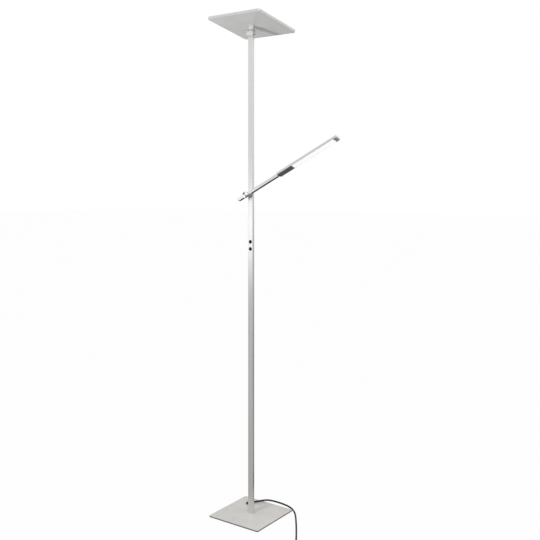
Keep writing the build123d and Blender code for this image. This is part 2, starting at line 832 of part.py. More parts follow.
def make_twist_clip():
    """The ring on the shaft's end that keeps the head on."""
    seat = reading_start + reading_cap_length + reading_cap_spigot + moving_gap
    ring = rod_x(twist_clip_diameter, seat, seat + twist_clip_thickness)
    ring -= rod_x(twist_shaft_diameter + 0.02, seat - 1, seat + 3)
    return arm_place * ring


# ---------------------------------------------------------------- reading light, LED head
def reading_spigot(start, end):
    """The part of an end cap that fits inside the reading head's housing."""
    room = 2 * (reading_wall + 0.1)
    return bar_x(reading_width - room, reading_thickness - room, start, end)


def window_plate(gap, height):
    """The diffuser window's outline as a plate standing on z = 0, along X."""
    plate = block(
        reading_window_length - 2 * gap, reading_window_width - 2 * gap, height,
        reading_window_corner - gap,
    )
    return Pos(window_start + reading_window_length / 2, 0, 0) * plate


def make_reading_housing():
    """A thin rectangular extrusion with a long window in its underside."""
    start = reading_start + reading_cap_length
    end = reading_end - reading_end_cap
    outer = bar_x(reading_width, reading_thickness, start, end, reading_corner_radius)
    inner = bar_x(
        reading_width - 2 * reading_wall, reading_thickness - 2 * reading_wall, start - 1, end + 1
    )
    window = Pos(0, 0, -reading_thickness / 2 - 1) * window_plate(0, reading_wall + 1.5)
    return reading_place * (outer - inner - window)


def make_reading_inner_cap():
    """The end cap with the bore that turns on the arm's shaft."""
    inner_end = reading_start + reading_cap_length
    cap = bar_x(reading_width, reading_thickness, reading_start, inner_end, reading_corner_radius)
    cap = chamfer(cap.faces().sort_by(Axis.X)[0].outer_wire().edges(), 0.6)
    cap += reading_spigot(inner_end, inner_end + reading_cap_spigot)
    bore = rod_x(
        twist_shaft_diameter + 2 * pin_running_clearance,
        reading_start - 1, inner_end + reading_cap_spigot + 1,
    )
    return reading_place * (cap - bore)


def make_reading_end_cap():
    seam = reading_end - reading_end_cap
    cap = bar_x(reading_width, reading_thickness, seam, reading_end, reading_corner_radius)
    cap = chamfer(cap.faces().sort_by(Axis.X)[-1].outer_wire().edges(), 0.6)
    return reading_place * (cap + reading_spigot(seam - reading_cap_spigot, seam))


def make_reading_board():
    """The board against the housing's top wall, over the window."""
    width = reading_window_width - 1
    top = reading_thickness / 2 - reading_wall
    place = Pos(window_start + reading_window_length / 2, 0, top - reading_board_thickness)
    return reading_place * place * block(reading_window_length, width, reading_board_thickness)


def make_reading_leds():
    top = reading_thickness / 2 - reading_wall - reading_board_thickness
    pitch = reading_window_length / reading_led_count
    chips = []
    for index in range(reading_led_count):
        x = window_start + pitch * (index + 0.5)
        chip = Pos(x, 0, top - led_height) * block(reading_led_size, reading_led_size, led_height)
        chips.append(reading_place * chip)
    return Compound(children=chips)


def make_reading_diffuser():
    """The window's opal lens, crowned and a little proud, on a flange inside the wall."""
    under = -reading_thickness / 2
    lens = Pos(0, 0, under - reading_diffuser_crown) * window_plate(
        reading_diffuser_gap, reading_wall + reading_diffuser_crown
    )
    lens = fillet(lens.faces().sort_by(Axis.Z)[0].outer_wire().edges(), reading_diffuser_crown)
    flange = Pos(0, 0, under + reading_wall) * window_plate(-1.2, 0.8)
    return reading_place * (lens + flange)


# ---------------------------------------------------------------- mains cord
def heading_place(x, y, heading):
    return Pos(x, y, 0) * Rot(0, 0, heading)


def make_cord_gland():
    """A moulded elbow in the plate: flange below, round body above, ribbed tapered nozzle."""
    flange_bottom = pad_thickness + flat_lead_thickness
    flange = rod_z(gland_flange_diameter, flange_bottom, flange_bottom + gland_flange_thickness - 0.1)
    neck = rod_z(gland_neck_diameter, flange_bottom, plate_top)
    body = rod_z(gland_body_diameter, plate_top, plate_top + gland_height)
    body = fillet(body.edges().sort_by(Axis.Z)[-1], gland_body_diameter * 0.38)
    nozzle = Rot(0, 90, 0) * Cone(
        gland_nozzle_root / 2, gland_nozzle_tip / 2, gland_nozzle_length,
        align=(Align.CENTER, Align.CENTER, Align.MIN),
    )
    pitch = (gland_nozzle_length - gland_body_diameter / 2 - 3) / gland_ribs
    for index in range(gland_ribs):
        start = gland_body_diameter / 2 + 1.5 + index * pitch
        ring = rod_x(gland_nozzle_root + 2, start, start + pitch * 0.4)
        radius = gland_nozzle_root / 2 - (gland_nozzle_root - gland_nozzle_tip) / 2 * (
            start / gland_nozzle_length
        )
        nozzle -= ring - rod_x(2 * radius - 1.1, start - 1, start + pitch)
    nozzle = Pos(0, 0, plate_top + gland_cord_height) * nozzle
    return heading_place(gland_x, gland_y, gland_heading) * (flange + neck + body + nozzle)


def route_radii(points):
    """Each corner's arc radius: 0.45 of its shorter run over the tangent of half the turn."""
    radii = []
    for before, here, after in zip(points, points[1:], points[2:]):
        arriving = Vector(*here) - Vector(*before)
        leaving = Vector(*after) - Vector(*here)
        half_turn = radians(arriving.get_angle(leaving)) / 2
        radii.append(0.45 * min(arriving.length, leaving.length) / tan(half_turn))
    return radii


def cord_tube(name, points):
    """A round tube along straight runs joined by tangent arcs."""
    radii = route_radii(points)
    path = FilletPolyline(*points, radius=radii)
    section = Plane(origin=points[0], z_dir=Vector(*points[1]) - Vector(*points[0])) * Circle(
        cord_diameter / 2
    )
    tube = sweep(section, path=path)
    wanted = path.length * pi * cord_diameter**2 / 4
    print(name, "radii", [round(radius) for radius in radii])
    print(name, "length", round(path.length, 1), "volume / (section x length)",
          round(tube.volume / wanted, 4))
    return tube


def coil_place():
    """The coil's frame: its start, with X along the way that the cord arrives."""
    (x0, y0, z0), (x1, y1, z1) = route[-2], route[-1]
    return heading_place(x1, y1, degrees(atan2(y1 - y0, x1 - x0)))


def coil_path():
    """Half turns, each drawn in by half a pitch, a climb, and half turns that widen again."""
    step = coil_pitch / 2
    radii = [coil_outer_radius - index * step for index in range(coil_lower_halves + 1)]
    radii += [radii[-1] + (index + 1) * step for index in range(coil_upper_halves)]
    heights = [coil_lower_height] * (coil_lower_halves + 1)
    heights += [coil_upper_height] * (coil_upper_halves + 1)
    edges = [Line((0, 0, heights[0]), (cord_diameter, 0, heights[0]))]
    side, y = 1, 0.0
    for radius, low, high in zip(radii, heights, heights[1:]):
        start = (cord_diameter, y, low)
        y += side * 2 * radius
        edges.append(TangentArc(start, (cord_diameter, y, high), tangent=(side, 0, 0)))
        side = -side
    edges.append(Line((cord_diameter, y, high), (cord_diameter + side * cord_diameter, y, high)))
    return Wire(edges), (cord_diameter + side * cord_diameter, y, high)


def coil_self_gap(path):
    """The least gap between the coil's surfaces, measured on points along its path."""
    count = 900
    spots = [path.position_at(index / count) for index in range(count + 1)]
    skip = round(count * 2.2 * cord_diameter / path.length)
    nearest = min(
        (spots[i] - spots[j]).length
        for i in range(len(spots))
        for j in range(i + skip, len(spots))
    )
    return nearest - cord_diameter


def make_cord_coil():
    path, end = coil_path()
    section = Plane(origin=(0, 0, coil_lower_height), z_dir=(1, 0, 0)) * Circle(cord_diameter / 2)
    coil = sweep(section, path=path)
    print("cord_coil length", round(path.length, 1), "least gap to itself",
          round(coil_self_gap(path), 2), "volume / (section x length)",
          round(coil.volume / (path.length * pi * cord_diameter**2 / 4), 4))
    return coil_place() * coil


def plug_lead_points():
    """The lead's points in the coil's frame, from the coil's end on."""
    x, y, z = coil_path()[1]
    points = [(x, y, z)]
    points += [(x + ahead, y + left, z + up) for ahead, left, up in plug_lead_steps]
    return points


def make_mains_cord():
    return cord_tube("mains_cord", route)


def make_plug_lead():
    return coil_place() * cord_tube("plug_lead", plug_lead_points())


def plug_place():
    """The plug's frame: X out of the lead's end, in the direction of its last run."""
    points = plug_lead_points()
    (x0, y0, z0), (x1, y1, z1) = points[-2], points[-1]
    direction = Vector(x1 - x0, y1 - y0, z1 - z0)
    return coil_place() * Plane(origin=(x1, y1, z1), x_dir=(direction.Y, -direction.X, 0),
                                z_dir=direction).location


def make_mains_plug():
    """A moulded two-pin plug: ribbed relief, tapered body, flat face. Built up along Z."""
    relief = Cone(
        cord_diameter / 2 + 0.8, plug_relief_end / 2, plug_relief_length,
        align=(Align.CENTER, Align.CENTER, Align.MIN),
    )
    pitch = plug_relief_length / (plug_ribs + 1)
    for index in range(plug_ribs):
        low = pitch * (index + 0.7)
        core = cord_diameter + 1.2 + (plug_relief_end - cord_diameter - 1.6) * low / plug_relief_length
        relief -= rod_z(plug_width, low, low + pitch * 0.4) - rod_z(core, 0, plug_relief_length)
    face = plug_relief_length + plug_length
    profile = Plane(origin=(0, 0, face), z_dir=(0, 0, -1)) * RectangleRounded(
        plug_width, plug_height, plug_corner
    )
    body = extrude(profile, plug_length, taper=plug_taper)
    body = chamfer(body.faces().sort_by(Axis.Z)[-1].outer_wire().edges(), 0.8)
    return plug_place() * (relief + body)


def make_plug_blades():
    blades = []
    for side in (-1, 1):
        blade = Pos(side * blade_spacing / 2, 0, plug_relief_length + plug_length) * block(
            blade_thickness, blade_width, blade_length
        )
        blade -= Pos(side * blade_spacing / 2, 0, plug_relief_length + plug_length + 12.5) * rod_x(
            3.2, -2, 2
        )
        blades.append(plug_place() * blade)
    return Compound(children=blades)


# ---------------------------------------------------------------- all nodes
nodes = {
    "base_pad": make_base_pad(),
    "base_plate": make_base_plate(),
    "base_lead": make_base_lead(),
    "foot_screws": make_foot_screws(),
    "pole_foot": make_pole_foot(),
    "pole_lower": make_pole_lower(),
    "pole_upper": make_pole_upper(),
    "pole_joiner": make_pole_joiner(),
    "set_screws": make_set_screws(),
    "driver_sleeve": make_driver_sleeve(),
    "driver_board": make_driver_board(),
    "pole_leads": make_pole_leads(),
    "board_carrier": make_board_carrier(),
    "control_board": make_control_board(),
    "button_switches": make_button_switches(),
    "torch_button": make_button(upper_button_height),
    "reading_button": make_button(lower_button_height),
    "hinge_yoke": make_hinge_yoke(),
    "hinge_pin": make_hinge_pin(),
    "hinge_washers": make_hinge_washers(),
    "hinge_plate_right": make_side_plate(1),
    "hinge_plate_left": make_side_plate(-1),
    "hinge_screws": make_hinge_screws(),
    "head_bracket": make_head_bracket(),
    "head_tray": make_head_tray(),
    "head_bracket_screws": make_head_bracket_screws(),
    "head_led_board": make_head_led_board(),
    "head_board_screws": make_head_board_screws(),
    "head_leds": make_head_leds(),
    "head_diffuser": make_head_diffuser(),
    "reading_post": make_reading_post(),
    "post_nut": make_post_nut(),
    "hub_washers": make_hub_washers(),
    "hub_cap": make_hub_cap(),
    "arm_tube": make_arm_tube(),
    "arm_tail_cap": make_arm_tail_cap(),
    "arm_nose": make_arm_nose(),
    "twist_shaft": make_twist_shaft(),
    "twist_washer": make_twist_washer(),
    "twist_clip": make_twist_clip(),
    "reading_housing": make_reading_housing(),
    "reading_inner_cap": make_reading_inner_cap(),
    "reading_end_cap": make_reading_end_cap(),
    "reading_board": make_reading_board(),
    "reading_leds": make_reading_leds(),
    "reading_diffuser": make_reading_diffuser(),
    "cord_gland": make_cord_gland(),
    "mains_cord": make_mains_cord(),
    "cord_coil": make_cord_coil(),
    "plug_lead": make_plug_lead(),
    "mains_plug": make_mains_plug(),
    "plug_blades": make_plug_blades(),
}

os.makedirs("parts", exist_ok=True)
for name, shape in nodes.items():
    export_step(shape, f"parts/{name}.step")
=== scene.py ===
# %% [markdown]
# # A torchiere floor lamp with a side reading light
#
# The lamp is a tall, plain object: a square steel base, a slim flat pole, a square uplight head
# on a friction hinge, and a thin reading light on an arm. Its solids come packed from the CAD
# source, already in place, so this lesson is about the looks: the satin nickel finish, the opal
# diffusers, the black mouldings and the mains cord. Everything here is in metres.

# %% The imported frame
from math import atan2, cos, pi, radians, sin

import bmesh
import bpy
from mathutils import Matrix, Vector


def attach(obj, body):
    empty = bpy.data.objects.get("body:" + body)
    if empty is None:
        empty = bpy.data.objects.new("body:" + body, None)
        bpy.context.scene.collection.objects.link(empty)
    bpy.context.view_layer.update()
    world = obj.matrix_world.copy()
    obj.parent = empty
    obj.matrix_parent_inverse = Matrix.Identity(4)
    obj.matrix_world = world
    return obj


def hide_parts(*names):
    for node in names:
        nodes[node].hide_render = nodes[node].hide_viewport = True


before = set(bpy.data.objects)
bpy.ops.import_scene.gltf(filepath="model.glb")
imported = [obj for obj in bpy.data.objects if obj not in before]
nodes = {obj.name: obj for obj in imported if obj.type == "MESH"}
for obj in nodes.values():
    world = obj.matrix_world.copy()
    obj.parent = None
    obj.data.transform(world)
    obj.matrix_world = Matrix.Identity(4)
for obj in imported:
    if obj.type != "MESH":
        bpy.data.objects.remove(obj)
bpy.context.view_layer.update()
scene = bpy.context.scene

# %% [markdown]
# ## The camera
#
# The lamp was seen from a little right of its front, level, from 2.8 m away. The lens axis is
# at 1.2 m, and the frame is moved down by a lens shift instead of a tilt, so that the pole stays
# upright in the picture. A tilted camera would make its two edges lean together.

# %% Camera
CAMERA_PLACE = (1.708, -2.2745, 1.2009)
LEVEL_AIM, CAMERA_TURN = radians(90), radians(35.51)
camera_data = bpy.data.cameras.new("studio_camera")
camera_data.sensor_width = 36.0
camera_data.lens = 51.63
camera_data.shift_y = -0.1536
camera = bpy.data.objects.new("studio_camera", camera_data)
camera.location = CAMERA_PLACE
camera.rotation_euler = (LEVEL_AIM, 0, CAMERA_TURN)
scene.collection.objects.link(camera)
scene.camera = camera
print("camera", tuple(round(v, 3) for v in camera.location), "lens", camera_data.lens)

# %% [markdown]
# ## Node trees
#
# Every surface and light below is a small tree of shader nodes. Written out in full, such trees
# are long and hard to read, so a few helpers add nodes with their values and join their sockets.
# The last one tells the camera's own rays from the rays that bounce, which lets a studio look
# white in the picture and still light the lamp softly.

# %% Helpers for node trees
def empty_tree(owner):
    """Turn on the nodes of a material or a world, and clear its tree."""
    owner.use_nodes = True
    owner.node_tree.nodes.clear()
    return owner.node_tree


def add_node(tree, kind, **values):
    """A new node with its properties set; a name that isn't a property is an input."""
    node = tree.nodes.new(kind)
    for key, value in values.items():
        if hasattr(node, key):
            setattr(node, key, value)
        else:
            node.inputs[key.replace("_", " ")].default_value = value
    return node


def join(tree, *pairs):
    """Link each pair of sockets, the source first."""
    for source, target in pairs:
        tree.links.new(source, target)


def seen_directly(tree, *kinds):
    """1 where the camera, or a ray of one of these kinds, sees the surface."""
    ray = add_node(tree, "ShaderNodeLightPath")
    total = ray.outputs["Is Camera Ray"]
    for kind in kinds:
        add = add_node(tree, "ShaderNodeMath", operation="ADD", use_clamp=True)
        join(tree, (total, add.inputs[0]), (ray.outputs[kind], add.inputs[1]))
        total = add.outputs[0]
    return total


print("helpers", [helper.__name__ for helper in (empty_tree, add_node, join, seen_directly)])

# %% [markdown]
# ## The room
#
# Satin metal shows what surrounds it, so the surroundings are most of the finish. In a product
# studio that is a white room, and the metal then has just the tone of its own colour. The world
# does this: the camera, reflections and clear materials all see its white, and matt surfaces
# are lit by a softer level of it.

# %% World
ROOM_LEVEL, WHITE_LEVEL = 0.7, 1.0
world = bpy.data.worlds.new("studio_world")
scene.world = world
tree = empty_tree(world)
room = add_node(tree, "ShaderNodeBackground", Color=(1, 1, 1, 1), Strength=ROOM_LEVEL)
white = add_node(tree, "ShaderNodeBackground", Color=(1, 1, 1, 1), Strength=WHITE_LEVEL)
choose = add_node(tree, "ShaderNodeMixShader")
out = add_node(tree, "ShaderNodeOutputWorld")
join(
    tree,
    (seen_directly(tree, "Is Glossy Ray", "Is Transmission Ray"), choose.inputs["Fac"]),
    (room.outputs[0], choose.inputs[1]),
    (white.outputs[0], choose.inputs[2]),
    (choose.outputs[0], out.inputs["Surface"]),
)
scene.view_settings.view_transform = "Standard"
print("world ready, room level", ROOM_LEVEL)

# %% [markdown]
# ## Soft panels and key lights
#
# An even white room leaves metal flat. A low, wide panel at the front left puts the long bright
# stretch on the pole's front, at the height of the reading light's hub, and a large one high at
# the front right lights the top faces. An area light adds its radiance to the white behind it,
# so a level of 1 already makes that part of the room twice as bright.
#
# The soft shadows on the head's underside and on the base come from small, strong key lights.
# Light linking lets each one reach only the parts that need it, and it is left out of the
# reflections: otherwise the bare metal of the pole would mirror it as a glaring spot.

# %% Lights
def soft_panel(name, place, target, width, height, level):
    """An area light that faces a target; its level is how bright its face looks."""
    data = bpy.data.lights.new(name, "AREA")
    data.shape = "RECTANGLE"
    data.size = width
    data.size_y = height
    data.energy = level * pi * width * height
    panel = bpy.data.objects.new(name, data)
    panel.location = place
    panel.rotation_euler = (Vector(target) - Vector(place)).to_track_quat("-Z", "Y").to_euler()
    scene.collection.objects.link(panel)
    return panel


def key_light(name, place, target, side, level, parts):
    """A small square panel that lights only some nodes and isn't seen in reflections."""
    key = soft_panel(name, place, target, side, side, level)
    receivers = bpy.data.collections.new("lit_by_" + name)
    for part in parts:
        receivers.objects.link(nodes[part])
    key.light_linking.receiver_collection = receivers
    key.visible_glossy = False


HEAD_PARTS = ("head_tray", "head_bracket", "hinge_yoke", "hinge_plate_right", "hinge_plate_left")
BASE_PARTS = ("base_plate",)
HEAD_MIDDLE, BASE_MIDDLE = (0, 0, 1.8), (0, 0, 0)
soft_panel("front_left_panel", (-1.0, -1.4, 0.95), (0, 0, 0.98), width=0.9, height=0.4, level=1.0)
key_light("head_key_panel", (-0.75, -2.1, 0.7), HEAD_MIDDLE, 0.3, 185.0, HEAD_PARTS)
soft_panel("top_panel", (1.6, -1.3, 3.0), (0, 0, 0.6), width=1.0, height=1.0, level=3.5)
key_light("base_key_front", (-0.35, -2.3, 1.5), BASE_MIDDLE, 0.35, 100.0, BASE_PARTS)
key_light("base_key_side", (2.3, -0.15, 1.5), BASE_MIDDLE, 0.35, 60.0, BASE_PARTS)

# %% [markdown]
# ## The floor
#
# The floor is plain and pale. The camera sees it as almost plain white, with so little of its lit
# surface left that the lamp's soft shadow doesn't show. Reflections see it as it is lit. It lies a
# hair below the foam pad, so that the two faces don't fight for the same place.

# %% Floor
FLOOR_REACH, FLOOR_DROP = 30.0, 0.0002
FLOOR_TONE, CAMERA_SHARE = 0.84, 0.97
floor_mesh = bpy.data.meshes.new("studio_floor")
shape = bmesh.new()
bmesh.ops.create_grid(shape, x_segments=1, y_segments=1, size=FLOOR_REACH)
shape.to_mesh(floor_mesh)
shape.free()
floor = bpy.data.objects.new("studio_floor", floor_mesh)
floor.location.z = -FLOOR_DROP
scene.collection.objects.link(floor)

floor_paint = bpy.data.materials.new("studio_floor")
tree = empty_tree(floor_paint)
lit = add_node(tree, "ShaderNodeBsdfDiffuse", Color=(FLOOR_TONE, FLOOR_TONE, FLOOR_TONE, 1))
glow = add_node(tree, "ShaderNodeEmission", Color=(1, 1, 1, 1), Strength=1.0)
share = add_node(tree, "ShaderNodeMath", operation="MULTIPLY")
share.inputs[1].default_value = CAMERA_SHARE
blend = add_node(tree, "ShaderNodeMixShader")
out = add_node(tree, "ShaderNodeOutputMaterial")
join(
    tree,
    (seen_directly(tree), share.inputs[0]),
    (share.outputs[0], blend.inputs["Fac"]),
    (lit.outputs[0], blend.inputs[1]),
    (glow.outputs[0], blend.inputs[2]),
    (blend.outputs[0], out.inputs["Surface"]),
)
floor_mesh.materials.append(floor_paint)
print("floor ready, camera share of plain white", CAMERA_SHARE)

# %% [markdown]
# ## Flags
#
# Photographers put cards, called flags, out of the picture, so that pale metal has something
# darker to mirror and its shape can be read. Only reflections see the ones here. Where each card
# goes follows from the law of mirrors: from the camera to a face of the lamp, and from there on
# at the same angle, down to the floor or back behind the lamp.

# %% Flags
WHITE_TINT, WARM_TINT = (1, 1, 1), (1.03, 0.985, 0.95)


def dark_flag(name, width, depth, shade, place, tint=WHITE_TINT):
    """A flat card of a size, put in place by a matrix and seen only in reflections."""
    card_mesh = bpy.data.meshes.new(name)
    card = bmesh.new()
    bmesh.ops.create_grid(card, x_segments=1, y_segments=1, size=0.5)
    bmesh.ops.scale(card, vec=(width, depth, 1), verts=card.verts)
    bmesh.ops.transform(card, matrix=place, verts=card.verts)
    card.to_mesh(card_mesh)
    card.free()
    cloth = bpy.data.materials.new(name)
    tree = empty_tree(cloth)
    matt = add_node(tree, "ShaderNodeBsdfDiffuse", Color=(*(shade * part for part in tint), 1))
    out = add_node(tree, "ShaderNodeOutputMaterial")
    join(tree, (matt.outputs[0], out.inputs["Surface"]))
    card_mesh.materials.append(cloth)
    flag = bpy.data.objects.new(name, card_mesh)
    scene.collection.objects.link(flag)
    flag.visible_camera = flag.visible_diffuse = flag.visible_shadow = False
    flag.visible_transmission = flag.visible_volume_scatter = False
    print("flag", name, "shade", shade)


def floor_flag(name, low, high, shade, lift=0.001, tint=WHITE_TINT):
    """A flag that lies on the floor between two corners."""
    place = Matrix.Translation(((low[0] + high[0]) / 2, (low[1] + high[1]) / 2, lift))
    dark_flag(name, high[0] - low[0], high[1] - low[1], shade, place, tint)


# %% Flags on the floor
# One that overlaps another lies a little higher, so that it is the one on top.
UPPER_LIFT = 0.002
# The pole's side face, darker from its middle down to the foot.
floor_flag("grey_flag", (0.12, 0.12), (4.6, 6.1), 0.44)
# The pole's front face near its foot, with a little warmth.
floor_flag("front_flag", (-0.9, -1.1), (0.11, -0.11), 0.68, tint=WARM_TINT)
# The uplight head's underside, a touch lighter than the floor would leave it.
floor_flag("far_white_flag", (-5.0, 1.2), (-1.5, 6.0), 0.98)
# The undersides of the arm and of the hub.
floor_flag("black_flag", (-1.5, 0.9), (0.5, 3.2), 0.04, UPPER_LIFT)
# A faint depth in the hub's small round parts and along the pole's front.
floor_flag("front_black_flag", (-0.45, -3.6), (1.0, -1.3), 0.04)
# The reading head's underside and the outer end of the arm.
floor_flag("low_flag", (-0.25, 0.2), (0.27, 0.75), 0.12, UPPER_LIFT)

# %% Flag behind the lamp
# It stands square to the camera's view, at the height that the base plate's face mirrors, and
# keeps that face from washing out.
standing = Matrix.Rotation(radians(36), 4, "Z") @ Matrix.Rotation(radians(90), 4, "X")
dark_flag("back_flag", 1.5, 0.44, 0.03, Matrix.Translation((-1.5, 2.0, 1.16)) @ standing)

# %% [markdown]
# ## Parts of a finish
#
# A real finish is never one even value. Its colour drifts a little, its roughness follows the
# marks of brushing or blasting, and those marks have a very small height. Each helper here makes
# one of these from a noise in object coordinates, so the marks have one scale on every part and
# stay with the part when it moves.

# %% Helpers for finishes
EVEN = (1, 1, 1)


def new_finish(name):
    """A material with an empty tree, its shader and its output, and the object's coordinates."""
    finish = bpy.data.materials.new(name)
    tree = empty_tree(finish)
    shader = add_node(tree, "ShaderNodeBsdfPrincipled")
    out = add_node(tree, "ShaderNodeOutputMaterial")
    place = add_node(tree, "ShaderNodeTexCoord")
    join(tree, (shader.outputs[0], out.inputs["Surface"]))
    return finish, tree, shader, place.outputs["Object"]


def noise(tree, place, scale, stretch=EVEN, turn=(0, 0, 0), detail=3.0):
    """A noise on coordinates that are turned and then stretched."""
    mapping = add_node(tree, "ShaderNodeMapping")
    mapping.inputs["Rotation"].default_value = turn
    mapping.inputs["Scale"].default_value = stretch
    pattern = add_node(tree, "ShaderNodeTexNoise", Scale=scale, Detail=detail)
    join(tree, (place, mapping.inputs["Vector"]), (mapping.outputs[0], pattern.inputs["Vector"]))
    return pattern.outputs["Fac"]


def remap(tree, value, low, high, start=0.3, end=0.7):
    """A value spread between two numbers; a noise is mostly between 0.3 and 0.7."""
    ranged = add_node(tree, "ShaderNodeMapRange")
    for key, number in (("From Min", start), ("From Max", end), ("To Min", low), ("To Max", high)):
        ranged.inputs[key].default_value = number
    join(tree, (value, ranged.inputs["Value"]))
    return ranged.outputs["Result"]


def two_tone(tree, value, dark, light, start=0.3, end=0.7):
    """A colour that runs between two tones with a value."""
    tones = add_node(tree, "ShaderNodeValToRGB")
    ramp = tones.color_ramp.elements
    ramp[0].position = start
    ramp[0].color = (*dark, 1)
    ramp[1].position = end
    ramp[1].color = (*light, 1)
    join(tree, (value, tones.inputs["Fac"]))
    return tones.outputs["Color"]


def bump(tree, value, distance):
    """A relief whose full height is a distance in metres."""
    relief = add_node(tree, "ShaderNodeBump", Strength=1.0, Distance=distance)
    join(tree, (value, relief.inputs["Height"]))
    return relief.outputs["Normal"]


print("helpers", [helper.__name__ for helper in (new_finish, noise, remap, two_tone, bump)])

# %% [markdown]
# ## Satin nickel
#
# The parts are steel and aluminium, plated in satin nickel: a light, slightly warm grey. The long
# parts are brushed along their length. The brushing is a noise stretched a hundredfold along one
# axis, which drives both the roughness and a bump of a few thousandths of a millimetre. The
# plates are blasted instead, with a coarser grain and less mirror in them: only a share of
# their surface is metal to the shader, and the rest is matt.

# %% Metals of the pole, the arm and the plates
HUB = Vector((0.0, -0.0254, 1.1725))
ARM_RISE = radians(27)
ROUGHNESS_SPREAD = 0.03


def metal(name, dark, light, rough, stretch=EVEN, turn=(0, 0, 0), grain=900.0, depth=0.000004,
          share=1.0):
    """A satin plated metal, brushed along the axis that the stretch makes long."""
    finish, tree, shader, place = new_finish(name)
    shader.inputs["Metallic"].default_value = share
    tone = noise(tree, place, 14.0, detail=7.0)
    lines = noise(tree, place, grain, stretch, turn)
    roughness = remap(tree, lines, rough - ROUGHNESS_SPREAD, rough + ROUGHNESS_SPREAD)
    join(
        tree,
        (two_tone(tree, tone, dark, light), shader.inputs["Base Color"]),
        (roughness, shader.inputs["Roughness"]),
        (bump(tree, lines, depth), shader.inputs["Normal"]),
    )
    return finish


pole_nickel = metal("pole_nickel", (0.675, 0.67, 0.665), (0.705, 0.70, 0.695), 0.28, (1, 1, 0.01))
arm_nickel = metal(
    "arm_nickel", (0.605, 0.6, 0.596), (0.635, 0.63, 0.626), 0.2, (0.01, 1, 1), (0, ARM_RISE, 0)
)
BLASTED = {"rough": 0.42, "grain": 700.0, "depth": 0.00003, "share": 0.4}
plate_nickel = metal("plate_nickel", (0.54, 0.523, 0.509), (0.60, 0.583, 0.568), **BLASTED)
tray_nickel = metal("tray_nickel", (0.56, 0.556, 0.551), (0.61, 0.605, 0.6), **BLASTED)
print("metals", [finish.name for finish in (pole_nickel, arm_nickel, plate_nickel, tray_nickel)])

# %% [markdown]
# ## The plates' edges
#
# The edges carry painted shade and painted light in their colour: the base's edge is painted
# much darker than its face, and of the tray's rims the front and back ones are painted a little
# darker and the side ones a little lighter than the underside. The object's normal tells the
# faces apart, so one colour is scaled by how squarely a face looks along an axis.

# %% Edges of the plates
def paint_light_by_facing(finish, axis, across, along):
    """Painted shade or light: scale a finish's colour by across on faces along an axis, by along on
    its ends.
    """
    tree = finish.node_tree
    shader = next(node for node in tree.nodes if node.type == "BSDF_PRINCIPLED")
    place = next(node for node in tree.nodes if node.type == "TEX_COORD")
    color = shader.inputs["Base Color"].links[0].from_socket
    split = add_node(tree, "ShaderNodeSeparateXYZ")
    facing = add_node(tree, "ShaderNodeMath", operation="ABSOLUTE")
    scaled = add_node(tree, "ShaderNodeVectorMath", operation="SCALE")
    join(tree, (place.outputs["Normal"], split.inputs[0]), (split.outputs[axis], facing.inputs[0]))
    factor = remap(tree, facing.outputs[0], across, along, 0.3, 0.95)
    join(
        tree,
        (color, scaled.inputs[0]),
        (factor, scaled.inputs["Scale"]),
        (scaled.outputs[0], shader.inputs["Base Color"]),
    )
    print(finish.name, "along", axis, "times", along, "and across it times", across)


# Painted shade on the base's edge (0.3 of its face), painted shade on the tray's front and back rims
# (0.84), painted light on its side rims (1.18).
paint_light_by_facing(plate_nickel, "Z", across=0.3, along=1.0)
paint_light_by_facing(tray_nickel, "Y", across=1.0, along=0.84)
paint_light_by_facing(tray_nickel, "X", across=1.0, along=1.18)

# %% [markdown]
# ## The turned cap
#
# The small disc in front of the hub is faced on a lathe, which leaves fine rings. Rings spread a
# reflection across themselves, so a turned face shows two bright fans that meet at its middle.
# The rings are a sine of the distance from the hub's axis. They are too fine for the picture to
# resolve, so the fans are also painted into the colour, two bright and two dark, as a painted
# reflection: a cosine of twice the angle round the axis.

# %% Turned cap
RING_PITCH, RING_HEIGHT = 0.00018, 0.00001
CAP_ROUGH, PAINTED_FAN_TURN = 0.24, pi / 2
turned_nickel, tree, shader, place = new_finish("turned_nickel")
shader.inputs["Metallic"].default_value = 1.0
lines = noise(tree, place, 900.0)
roughness = remap(tree, lines, CAP_ROUGH - ROUGHNESS_SPREAD, CAP_ROUGH + ROUGHNESS_SPREAD)
centred = add_node(tree, "ShaderNodeMapping")
centred.inputs["Location"].default_value = -HUB
flat = add_node(tree, "ShaderNodeVectorMath", operation="MULTIPLY")
flat.inputs[1].default_value = (1, 0, 1)
radius = add_node(tree, "ShaderNodeVectorMath", operation="LENGTH")
count = add_node(tree, "ShaderNodeMath", operation="MULTIPLY")
count.inputs[1].default_value = 2 * pi / RING_PITCH
rings = add_node(tree, "ShaderNodeMath", operation="SINE")
join(
    tree,
    (place, centred.inputs["Vector"]),
    (centred.outputs[0], flat.inputs[0]),
    (flat.outputs[0], radius.inputs[0]),
    (radius.outputs["Value"], count.inputs[0]),
    (count.outputs[0], rings.inputs[0]),
    (roughness, shader.inputs["Roughness"]),
    (bump(tree, rings.outputs[0], RING_HEIGHT), shader.inputs["Normal"]),
)
# Painted reflection: two bright and two dark fans, painted into the base colour by the angle round
# the hub's axis.
across = add_node(tree, "ShaderNodeSeparateXYZ")
angle = add_node(tree, "ShaderNodeMath", operation="ARCTAN2")
double = add_node(tree, "ShaderNodeMath", operation="MULTIPLY_ADD")
double.inputs[1].default_value = 2.0
double.inputs[2].default_value = -PAINTED_FAN_TURN
wave = add_node(tree, "ShaderNodeMath", operation="COSINE")
painted_reflection_fans = remap(tree, wave.outputs[0], 0.0, 1.0, -1.0, 1.0)
join(
    tree,
    (flat.outputs[0], across.inputs[0]),
    (across.outputs["Z"], angle.inputs[0]),
    (across.outputs["X"], angle.inputs[1]),
    (angle.outputs[0], double.inputs[0]),
    (double.outputs[0], wave.inputs[0]),
    (
        two_tone(tree, painted_reflection_fans, (0.22, 0.22, 0.22), (0.84, 0.84, 0.835), 0.25, 0.7),
        shader.inputs["Base Color"],
    ),
)
print("turned cap, nodes in its tree", len(tree.nodes))
